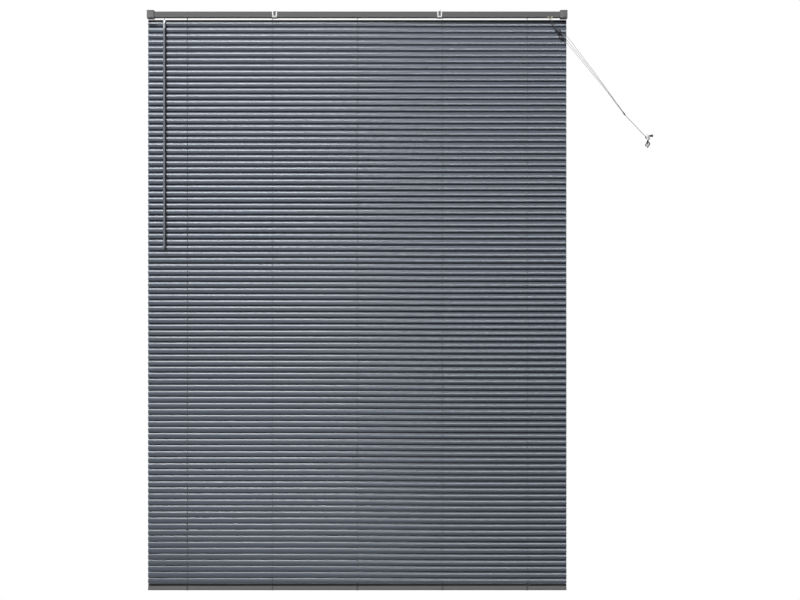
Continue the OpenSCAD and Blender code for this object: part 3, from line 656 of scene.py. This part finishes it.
def slat_outline(holes):
    """Flat faces of one slat as lists of points along and across it, with its cord holes left open."""
    sizes = bpy.context.scene.blind_slats
    end, half, corner = sizes.length / 2, sizes.width / 2, sizes.corner
    band, along = sizes.hole_width / 2, sizes.hole_length / 2
    reach, inner, shoulder = along + HOLE_MARGIN, end - corner, half - corner
    faces = []

    def add(ring, way=1):
        faces.append(ring if way > 0 else ring[::-1])

    steps = [band * math.sin(math.radians(a)) for a in HOLE_ANGLES]
    edges = [-end, *sorted(x + d for x in holes for d in (-reach, reach)), end]
    for low, high in zip(steps, steps[1:]):
        for left, right in zip(edges[::2], edges[1::2]):
            add([(left, low), (right, low), (right, high), (left, high)])
        rim_low, rim_high = (along * math.sqrt(max(0.0, 1 - (s / band) ** 2)) for s in (low, high))
        for x in holes:
            add([(x + rim_low, low), (x + reach, low), (x + reach, high), (x + rim_high, high)])
            add([(x - reach, low), (x - rim_low, low), (x - rim_high, high), (x - reach, high)])
    columns = sorted(x + d for x in holes for d in (-reach, 0, reach))
    strips = [*(band + (shoulder - band) * share for share in STRIP_SHARES), shoulder]
    for sign in (1, -1):
        near = [(x, sign * band) for x in [-end, *columns, end]]
        add(near + [(end, sign * strips[0]), (-end, sign * strips[0])], sign)
        for low, high in zip(strips, strips[1:]):
            add([(-end, sign * low), (end, sign * low), (end, sign * high), (-end, sign * high)], sign)
        low, high = sign * shoulder, sign * half
        add([(-inner, low), (inner, low), (inner, high), (-inner, high)], sign)
        for side in (1, -1):
            arc = [(side * (inner + corner * math.cos(math.radians(a))),
                    sign * (shoulder + corner * math.sin(math.radians(a)))) for a in CORNER_ANGLES]
            add([(side * inner, sign * shoulder), *arc], sign * side)
    return faces


def slat_blank(holes):
    """One slat, curved across, with thickness, cord holes, rounded corners and marked cut edges."""
    sheet = bpy.context.scene.blind_slats.sheet
    bm = bmesh.new()
    known = {}

    def vert(point, drop):
        key = (round(point[0], 7), round(point[1], 7), drop)
        if key not in known:
            known[key] = bm.verts.new((point[0], point[1], slat_rise(point[1]) - (sheet if drop else 0.0)))
        return known[key]

    rims = {}
    for ring in slat_outline(holes):
        top = [vert(p, False) for p in ring]
        low = [vert(p, True) for p in ring]
        bm.faces.new(top)
        bm.faces.new(low[::-1])
        for i in range(len(ring)):
            n = (i + 1) % len(ring)
            rims.setdefault(frozenset((top[i], top[n])), []).append((top[i], top[n], low[n], low[i]))
    cut = bm.faces.layers.float.new("cut_edge")
    for walls in rims.values():
        if len(walls) == 1:
            bm.faces.new(walls[0][::-1])[cut] = 1.0
    return smooth(mesh_of("slat_blank", bm), SLAT_SHARP)


def ladder_places():
    """The ladders' x, the depth of their front and back strings, and the heights of their ends."""
    xs = [sum(p.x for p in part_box(f"ladder_{i}")) / 2 for i in LADDERS]
    low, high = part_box("ladder_2")
    half = bpy.context.scene.blind_cords.string / 2
    return xs, low.y + half, high.y - half, low.z, high.z


class BLIND_OT_stage(bpy.types.Operator):
    """Sets the camera, the lights, the white surround and the floor"""

    bl_idname = "blind.stage"
    bl_label = "Stage"

    def lamp(self, name, power, place, width, height, diffuse=True, glossy=True):
        """A soft box that faces the middle of the blind, for matt light, for reflections or for both."""
        data = bpy.data.lights.new(name, "AREA")
        data.shape, data.size, data.size_y, data.energy = "RECTANGLE", width, height, power
        obj = linked(name, data)
        obj.location = place
        obj.rotation_euler = (BLIND_MIDDLE - Vector(place)).to_track_quat("-Z", "Y").to_euler()
        obj.visible_diffuse, obj.visible_glossy = diffuse, glossy

    def camera(self, stage):
        """A camera that looks straight at the blind's front."""
        lens = bpy.data.cameras.new("camera")
        lens.lens, lens.sensor_width, lens.sensor_fit = stage.lens, SENSOR_WIDTH, "HORIZONTAL"
        obj = linked("camera", lens)
        obj.location, obj.rotation_euler = stage.eye, (math.pi / 2, 0, 0)
        return obj

    def surround(self, stage):
        """White as the camera, gloss and glass see it, and a soft light from above for the rest."""
        world = bpy.data.worlds.new("surround")
        world.use_nodes = True
        tree = world.node_tree
        parts = tree.nodes.new("ShaderNodeSeparateXYZ")
        tree.links.new(tree.nodes.new("ShaderNodeTexCoord").outputs["Generated"], parts.inputs["Vector"])
        sky = node_in(tree, "ShaderNodeMapRange", From_Min=0.2, From_Max=0.8, To_Min=stage.below,
                      To_Max=stage.ambient)
        tree.links.new(parts.outputs["Z"], sky.inputs["Value"])
        level = node_in(tree, "ShaderNodeMapRange", To_Max=1.0)
        tree.links.new(seen_rays(tree), level.inputs["Value"])
        tree.links.new(sky.outputs["Result"], level.inputs["To Min"])
        tree.links.new(level.outputs["Result"], tree.nodes["Background"].inputs["Strength"])
        tree.nodes["Background"].inputs["Color"].default_value = (1, 1, 1, 1)
        return world

    def floor(self, stage):
        """A floor below the blind, pale as it is seen and dark in the light that it throws back."""
        corners = [(-FLOOR_SIDE, FLOOR_FRONT, stage.floor), (FLOOR_SIDE, FLOOR_FRONT, stage.floor),
                   (FLOOR_SIDE, FLOOR_BACK, stage.floor), (-FLOOR_SIDE, FLOOR_BACK, stage.floor)]
        material, tree, surface = shader("floor")
        surface.inputs["Roughness"].default_value = 0.8
        place = tree.nodes.new("ShaderNodeTexCoord").outputs["Object"]
        low, high, bounce = ((level, level, level, 1) for level in (*FLOOR_SHADES, FLOOR_BOUNCE))
        shade = blend_colours(tree, noise(tree, place, 3.0), low, high)
        shade = blend_colours(tree, seen_rays(tree), bounce, shade)
        tree.links.new(shade, surface.inputs["Base Color"])
        obj = linked("floor", mesh_from("floor", corners, [(0, 1, 2, 3)]))
        obj.data.materials.append(material)

    def execute(self, context):
        scene, stage = context.scene, context.scene.blind_stage
        scene.camera = self.camera(stage)
        scene.view_settings.view_transform = "Standard"
        for name, values in LAMPS.items():
            self.lamp(f"{name}_light", getattr(stage, name), **values)
        scene.world = self.surround(stage)
        self.floor(stage)
        return {"FINISHED"}


class BLIND_OT_pull_cords(bpy.types.Operator):
    """Hangs the three pull strands, their bell and joiner, and the tail wound on the cleat with its tassel"""

    bl_idname = "blind.pull_cords"
    bl_label = "Pull cords"

    def turned(self, name):
        """A turned piece in its CAD node's place."""
        mesh = lathe(f"pull_{name}", **TURNED[name])
        return piece(f"pull_{name}", mesh, "dark_plastic", stands_for=(f"cord_{name}",))

    def turn(self, t):
        """A point of the winding round the cleat, as a standing figure of eight."""
        c, j = math.cos(math.radians(t)), (t - 90) / 180
        grown = (TURN_ASIDE, TURN_HIGH, TURN_FRONT, TURN_BACK)
        aside, high, front, back = (size + growth * j for size, growth in grown)
        share = min(1.0, max(0.0, (abs(c) - PASS_FROM) / PASS_OVER))
        x = CLEAT_X + aside * math.sin(math.radians(2 * t))
        return (x, front + (back - front) * share, CLEAT_Z + high * c)

    def execute(self, context):
        sizes = context.scene.blind_cords
        bell, joiner, tassel = (self.turned(name) for name in TURNED)
        for k, points in STRANDS.items():
            route = smooth_route([at_end(p) for p in points], STRAND_STEP)
            cord = piece(f"pull_cord_{k}", tube(f"pull_cord_{k}", [route], sizes.strand / 2), "cord",
                         stands_for=(f"pull_strand_{k}",))
        turns = [self.turn(t) for t in TURN_ANGLES]
        route = smooth_route([at_end(p) for p in TAIL_IN + turns + TAIL_OUT], TAIL_STEP)
        tail = piece("pull_cord_tail", tube("pull_cord_tail", [route], sizes.tail / 2), "cord",
                     stands_for=("pull_tail",))
        return {"FINISHED"}


class BLIND_OT_slats(bpy.types.Operator):
    """Rolls one curved slat with its cord holes and repeats it down the curtain"""

    bl_idname = "blind.slats"
    bl_label = "Slats"

    def execute(self, context):
        xs = ladder_places()[0]
        rows = in_rows("slat_stack", slat_blank(xs[::2]), "slat_paint")
        piece("slat_stack", rows, "slat_paint", stands_for=("slats",))
        return {"FINISHED"}


class BLIND_OT_ladders(bpy.types.Operator):
    """Strings the five ladders and their paired rung threads under each slat"""

    bl_idname = "blind.ladders"
    bl_label = "Ladders"

    def execute(self, context):
        sizes, cords = context.scene.blind_slats, context.scene.blind_cords
        xs, front, back, low, top = ladder_places()
        back_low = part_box("bottom_rail")[1].z + STRING_GAP
        strings = []
        for x in xs:
            strings.append([Vector((x, front, low)), Vector((x, front, top))])
            strings.append([Vector((x, back, back_low)), Vector((x, back, top))])
        piece("ladder_strings", tube("ladder_strings", strings, cords.string / 2, sides=8, strands=4), "cord",
              stands_for=[f"ladder_{i}" for i in LADDERS])
        half, under = sizes.width / 2, sizes.sheet + cords.rung / 2
        across = [half * share for share in RUNG_SHARES]
        threads = [[Vector((x + d, s, slat_rise(max(-half, min(half, s))) - under)) for s in across]
                   for x in xs for d in (-cords.rung_gap / 2, cords.rung_gap / 2)]
        blank = tube("rung_blank", threads, cords.rung / 2, sides=4, strands=2)
        piece("ladder_rungs", in_rows("ladder_rungs", blank, "cord"), "cord")
        return {"FINISHED"}


class BLIND_OT_lift_cords(bpy.types.Operator):
    """Runs the three lift cords from the bottom rail up through the slats and the headrail to the lock"""

    bl_idname = "blind.lift_cords"
    bl_label = "Lift cords"

    def route(self, x, run, lane):
        """Points up through the slats, along the headrail's back and over the lock's rollers."""
        floor, lock, depth = HEADRAIL_FLOOR, LOCK_X, LIFT_DEPTH
        a, z = lock + lane, floor + run
        points = [(x, depth, LIFT_END), (x, depth, -27), (x, depth, floor + 0.8),
                  (x + 0.8, depth + 1.2, floor + 1.8), (x + 3.5, 6.3, floor + 2),
                  (x + 6, 9.5, floor + max(2, run + 0.2)), (x + 9.5, 10.3, z),
                  (lock - 22, 10.3, z), (lock - 14, 8.6, z + 1.2), (lock - 9.5, 7.9, z + 1.5),
                  (a - 3, 5, floor + 6.7), (a, 1.5, floor + 9), (a, -1.2, floor + 9.5),
                  (a, -3.6, floor + 8.5), (a, -4.35, floor + 6.4), (a, -5, floor + 2.7),
                  (a, -6.6, floor - 0.8), (a, -6.6, -29)]
        return [Vector(p) * MM for p in points]

    def execute(self, context):
        radius = context.scene.blind_cords.strand / 2
        for k, places in LIFT_CORDS.items():
            piece(f"lift_line_{k}", tube(f"lift_line_{k}", [self.route(*places)], radius), "cord",
                  stands_for=(f"lift_cord_{k}",))
        return {"FINISHED"}


class BLIND_OT_fittings(bpy.types.Operator):
    """Rounds the edges of the brackets, gates, caps, clips and cleat"""

    bl_idname = "blind.fittings"
    bl_label = "Fittings"

    def execute(self, context):
        for side in ("left", "right"):
            softened(f"bracket_{side}", "bracket_paint", BRACKET_EDGE)
            softened(f"gate_{side}", "bracket_paint", GATE_EDGE, f"gate_{side}")
            softened(f"headrail_cap_{side}", "grey_plastic", HEADRAIL_CAP_EDGE)
            softened(f"bottom_rail_cap_{side}", "grey_plastic", RAIL_CAP_EDGE)
            softened(f"support_clip_{side}", "white_steel", CLIP_EDGE)
        softened("wall_cleat", "cleat_plastic", CLEAT_EDGE)
        return {"FINISHED"}


class BLIND_OT_finishes(bpy.types.Operator):
    """Gives every CAD node that still shows its finish"""

    bl_idname = "blind.finishes"
    bl_label = "Finishes"

    def execute(self, context):
        made = finishes()
        for row in frame["record"]["subparts"]:
            obj = frame["nodes"][row["node"]]
            obj.data.materials.clear()
            obj.data.materials.append(made[row["material_slot"]])
        return {"FINISHED"}


class BLIND_PT_panel(bpy.types.Panel):
    """The blind's sizes, colours and steps"""

    bl_idname = "BLIND_PT_panel"
    bl_label = "Venetian Blind"
    bl_space_type = "VIEW_3D"
    bl_region_type = "UI"
    bl_category = "Blind"

    def draw(self, context):
        for step in STEPS:
            self.layout.operator(step.bl_idname)
        for name in GROUPS:
            group = getattr(context.scene, name)
            box = self.layout.box()
            for key in group.__annotations__:
                box.prop(group, key)


GROUPS = {
    "blind_slats": BlindSlatSizes,
    "blind_cords": BlindCordSizes,
    "blind_colours": BlindColours,
    "blind_stage": BlindStage,
}
STEPS = (BLIND_OT_stage, BLIND_OT_pull_cords, BLIND_OT_slats, BLIND_OT_ladders, BLIND_OT_lift_cords,
         BLIND_OT_fittings, BLIND_OT_finishes)


def register():
    for cls in (*GROUPS.values(), *STEPS, BLIND_PT_panel):
        bpy.utils.register_class(cls)
    for name, group in GROUPS.items():
        setattr(bpy.types.Scene, name, PointerProperty(type=group))


def unregister():
    for name in GROUPS:
        delattr(bpy.types.Scene, name)
    for cls in (BLIND_PT_panel, *reversed(STEPS), *reversed(list(GROUPS.values()))):
        bpy.utils.unregister_class(cls)


def main():
    register()
    for step in STEPS:
        group, name = step.bl_idname.split(".")
        getattr(getattr(bpy.ops, group), name)()


if __name__ == "__main__":
    main()
